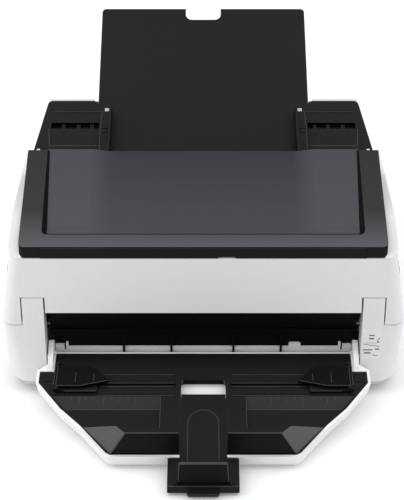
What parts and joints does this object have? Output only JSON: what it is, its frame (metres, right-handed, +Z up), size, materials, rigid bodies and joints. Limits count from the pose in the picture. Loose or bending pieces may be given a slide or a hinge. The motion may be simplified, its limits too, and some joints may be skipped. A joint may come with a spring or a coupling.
{
  "type": "sheet fed document scanner",
  "caption": "Desktop document scanner for large sheets with a sloping input chute, a lifting upper unit, an open front mouth and a folding output tray.",
  "frame": {"origin": "on the table, below the middle of the whole footprint", "axes": "+Z up, +X to the right of the machine seen from its front, +Y from the front to the back; the sheets leave towards -Y"},
  "size_m": [0.432, 0.5766, 0.2597],
  "materials": {
    "white_plastic": "fine texture",
    "black_plastic": "fine texture",
    "grey_plastic": "satin",
    "natural_plastic": "satin",
    "rubber": "matt",
    "steel": "satin",
    "zinc_sheet": "zinc plated",
    "glass": "polished",
    "display": "gloss",
    "board": "solder mask",
    "label": "printed film",
    "green_button": "satin"
  },
  "bodies": {
    "base": {"lower_casing": "white_plastic", "base_pan": "zinc_sheet", "rubber_feet": "rubber", "rear_casing": "white_plastic", "side_frame_left": "zinc_sheet", "side_frame_right": "zinc_sheet", "hinge_pins": "steel", "lower_guide": "black_plastic", "exit_strip": "natural_plastic", "lower_scan_unit": "black_plastic", "lower_glass": "glass", "drive_belt": "rubber", "drive_motor": "steel", "chute": "black_plastic", "pinion_bracket": "black_plastic", "main_board": "board", "power_supply": "zinc_sheet", "power_inlet": "black_plastic", "usb_port": "natural_plastic", "switch_frame": "black_plastic"},
    "upper_unit": {"upper_casing": "white_plastic", "top_cover": "black_plastic", "upper_guide": "black_plastic", "upper_scan_unit": "black_plastic", "upper_glass": "glass", "panel_bezels": "grey_plastic", "panel_displays": "display"},
    "release_handle": {"release_handle": "black_plastic"},
    "feed_roller": {"feed_shaft": "steel", "feed_tyres": "rubber", "feed_pulley": "natural_plastic"},
    "pick_roller": {"pick_shaft": "steel", "pick_tyres": "rubber", "pick_pulley": "natural_plastic"},
    "eject_roller": {"eject_shaft": "steel", "eject_tyres": "rubber", "eject_pulley": "natural_plastic"},
    "motor_rotor": {"motor_pulley": "natural_plastic"},
    "brake_roller": {"brake_shaft": "steel", "brake_tyres": "rubber"},
    "feed_pinch": {"feed_pinch_roller": "grey_plastic"},
    "eject_pinch": {"eject_pinch_roller": "grey_plastic"},
    "hopper_guide_right": {"hopper_guide_right": "black_plastic"},
    "hopper_guide_left": {"hopper_guide_left": "black_plastic"},
    "guide_pinion": {"guide_pinion": "natural_plastic"},
    "chute_extension": {"chute_extension": "black_plastic"},
    "stacker": {"stacker_shell": "white_plastic", "stacker_tray": "black_plastic", "stacker_pins": "steel"},
    "output_extension": {"output_extension": "black_plastic"},
    "stopper_flap": {"stopper_flap": "black_plastic"},
    "stacker_carrier_left": {"stacker_carrier_left": "black_plastic"},
    "stacker_carrier_right": {"stacker_carrier_right": "black_plastic"},
    "stacker_guide_left": {"stacker_guide_left": "black_plastic"},
    "stacker_guide_right": {"stacker_guide_right": "black_plastic"},
    "power_switch": {"power_switch": "black_plastic"},
    "scan_button_left": {"scan_button_left": "green_button"},
    "scan_button_right": {"scan_button_right": "green_button"},
    "menu_button_left": {"menu_button_left": "grey_plastic"},
    "menu_button_right": {"menu_button_right": "grey_plastic"}
  },
  "joints": [
    {"name": "upper_unit_hinge", "type": "hinge", "parent": "base", "child": "upper_unit", "pos_m": [0, 0.06944, 0.164], "axis": [-1, 0, 0], "range_deg": [0, 70]},
    {"name": "release_handle_tip", "type": "hinge", "parent": "upper_unit", "child": "release_handle", "pos_m": [0, -0.09556, 0.1675], "axis": [-1, 0, 0], "range_deg": [0, 7], "stiffness_Nm_per_rad": 0.6, "springref_deg": -2.86},
    {"name": "feed_spin", "type": "hinge", "parent": "base", "child": "feed_roller", "pos_m": [0, -0.03059, 0.08386], "axis": [1, 0, 0], "continuous": true},
    {"name": "pick_spin", "type": "hinge", "parent": "base", "child": "pick_roller", "pos_m": [0, 0.01333, 0.09785], "axis": [1, 0, 0], "continuous": true},
    {"name": "eject_spin", "type": "hinge", "parent": "base", "child": "eject_roller", "pos_m": [0, -0.09018, 0.06051], "axis": [1, 0, 0], "continuous": true},
    {"name": "motor_spin", "type": "hinge", "parent": "base", "child": "motor_rotor", "pos_m": [0, 0.00244, 0.044], "axis": [1, 0, 0], "continuous": true},
    {"name": "brake_spin", "type": "hinge", "parent": "upper_unit", "child": "brake_roller", "pos_m": [0, 0.00366, 0.12252], "axis": [1, 0, 0], "continuous": true},
    {"name": "feed_pinch_spin", "type": "hinge", "parent": "upper_unit", "child": "feed_pinch", "pos_m": [0, -0.03734, 0.10108], "axis": [1, 0, 0], "continuous": true},
    {"name": "eject_pinch_spin", "type": "hinge", "parent": "upper_unit", "child": "eject_pinch", "pos_m": [0, -0.09693, 0.07773], "axis": [1, 0, 0], "continuous": true},
    {"name": "hopper_guide_right_slide", "type": "slide", "parent": "base", "child": "hopper_guide_right", "axis": [-1, 0, 0], "range_m": [-0.041, 0.084]},
    {"name": "hopper_guide_left_slide", "type": "slide", "parent": "base", "child": "hopper_guide_left", "axis": [1, 0, 0], "range_m": [-0.041, 0.084]},
    {"name": "guide_pinion_spin", "type": "hinge", "parent": "base", "child": "guide_pinion", "pos_m": [0, 0.03974, 0.1101], "axis": [0, -0.4848, 0.8746], "range_deg": [-540, 270]},
    {"name": "chute_extension_slide", "type": "slide", "parent": "base", "child": "chute_extension", "axis": [0, -0.8746, -0.4848], "range_m": [0, 0.108]},
    {"name": "stacker_hinge", "type": "hinge", "parent": "base", "child": "stacker", "pos_m": [0, -0.12356, 0.041], "axis": [-1, 0, 0], "range_deg": [0, 72]},
    {"name": "output_extension_slide", "type": "slide", "parent": "stacker", "child": "output_extension", "axis": [0, -0.9848, -0.1736], "range_m": [0, 0.012]},
    {"name": "stopper_flap_hinge", "type": "hinge", "parent": "output_extension", "child": "stopper_flap", "pos_m": [0, -0.27857, 0.0158], "axis": [-1, 0, 0], "range_deg": [0, 78]},
    {"name": "stacker_carrier_right_slide", "type": "slide", "parent": "stacker", "child": "stacker_carrier_right", "axis": [-1, 0, 0], "range_m": [0, 0.085]},
    {"name": "stacker_carrier_left_slide", "type": "slide", "parent": "stacker", "child": "stacker_carrier_left", "axis": [1, 0, 0], "range_m": [0, 0.085]},
    {"name": "stacker_guide_right_fold", "type": "hinge", "parent": "stacker_carrier_right", "child": "stacker_guide_right", "pos_m": [0.155, -0.15504, 0.04083], "axis": [0, 0.9848, 0.1736], "range_deg": [0, 90]},
    {"name": "stacker_guide_left_fold", "type": "hinge", "parent": "stacker_carrier_left", "child": "stacker_guide_left", "pos_m": [-0.155, -0.15504, 0.04083], "axis": [0, -0.9848, -0.1736], "range_deg": [0, 90]},
    {"name": "power_switch_rock", "type": "hinge", "parent": "base", "child": "power_switch", "pos_m": [-0.118, 0.16044, 0.044], "axis": [-1, 0, 0], "range_deg": [0, 8]},
    {"name": "scan_button_left_press", "type": "slide", "parent": "upper_unit", "child": "scan_button_left", "axis": [0.9868, 0, -0.1621], "range_m": [0, 0.0008], "stiffness_N_per_m": 700, "springref_m": -0.0006},
    {"name": "scan_button_right_press", "type": "slide", "parent": "upper_unit", "child": "scan_button_right", "axis": [-0.9868, 0, -0.1621], "range_m": [0, 0.0008], "stiffness_N_per_m": 700, "springref_m": -0.0006},
    {"name": "menu_button_left_press", "type": "slide", "parent": "upper_unit", "child": "menu_button_left", "axis": [0.9868, 0, -0.1621], "range_m": [0, 0.0008], "stiffness_N_per_m": 700, "springref_m": -0.0006},
    {"name": "menu_button_right_press", "type": "slide", "parent": "upper_unit", "child": "menu_button_right", "axis": [-0.9868, 0, -0.1621], "range_m": [0, 0.0008], "stiffness_N_per_m": 700, "springref_m": -0.0006}
  ],
  "couplings": [
    {"joint": "pick_spin", "follows": "feed_spin", "ratio": 1},
    {"joint": "eject_spin", "follows": "feed_spin", "ratio": 1},
    {"joint": "motor_spin", "follows": "feed_spin", "ratio": 1},
    {"joint": "feed_pinch_spin", "follows": "feed_spin", "ratio": -1.5714},
    {"joint": "eject_pinch_spin", "follows": "feed_spin", "ratio": -1.5714},
    {"joint": "brake_spin", "follows": "feed_spin", "ratio": -1.1667},
    {"joint": "hopper_guide_left_slide", "follows": "hopper_guide_right_slide", "ratio": 1},
    {"joint": "guide_pinion_spin", "follows": "hopper_guide_right_slide", "rad_per_m": -111.11}
  ]
}
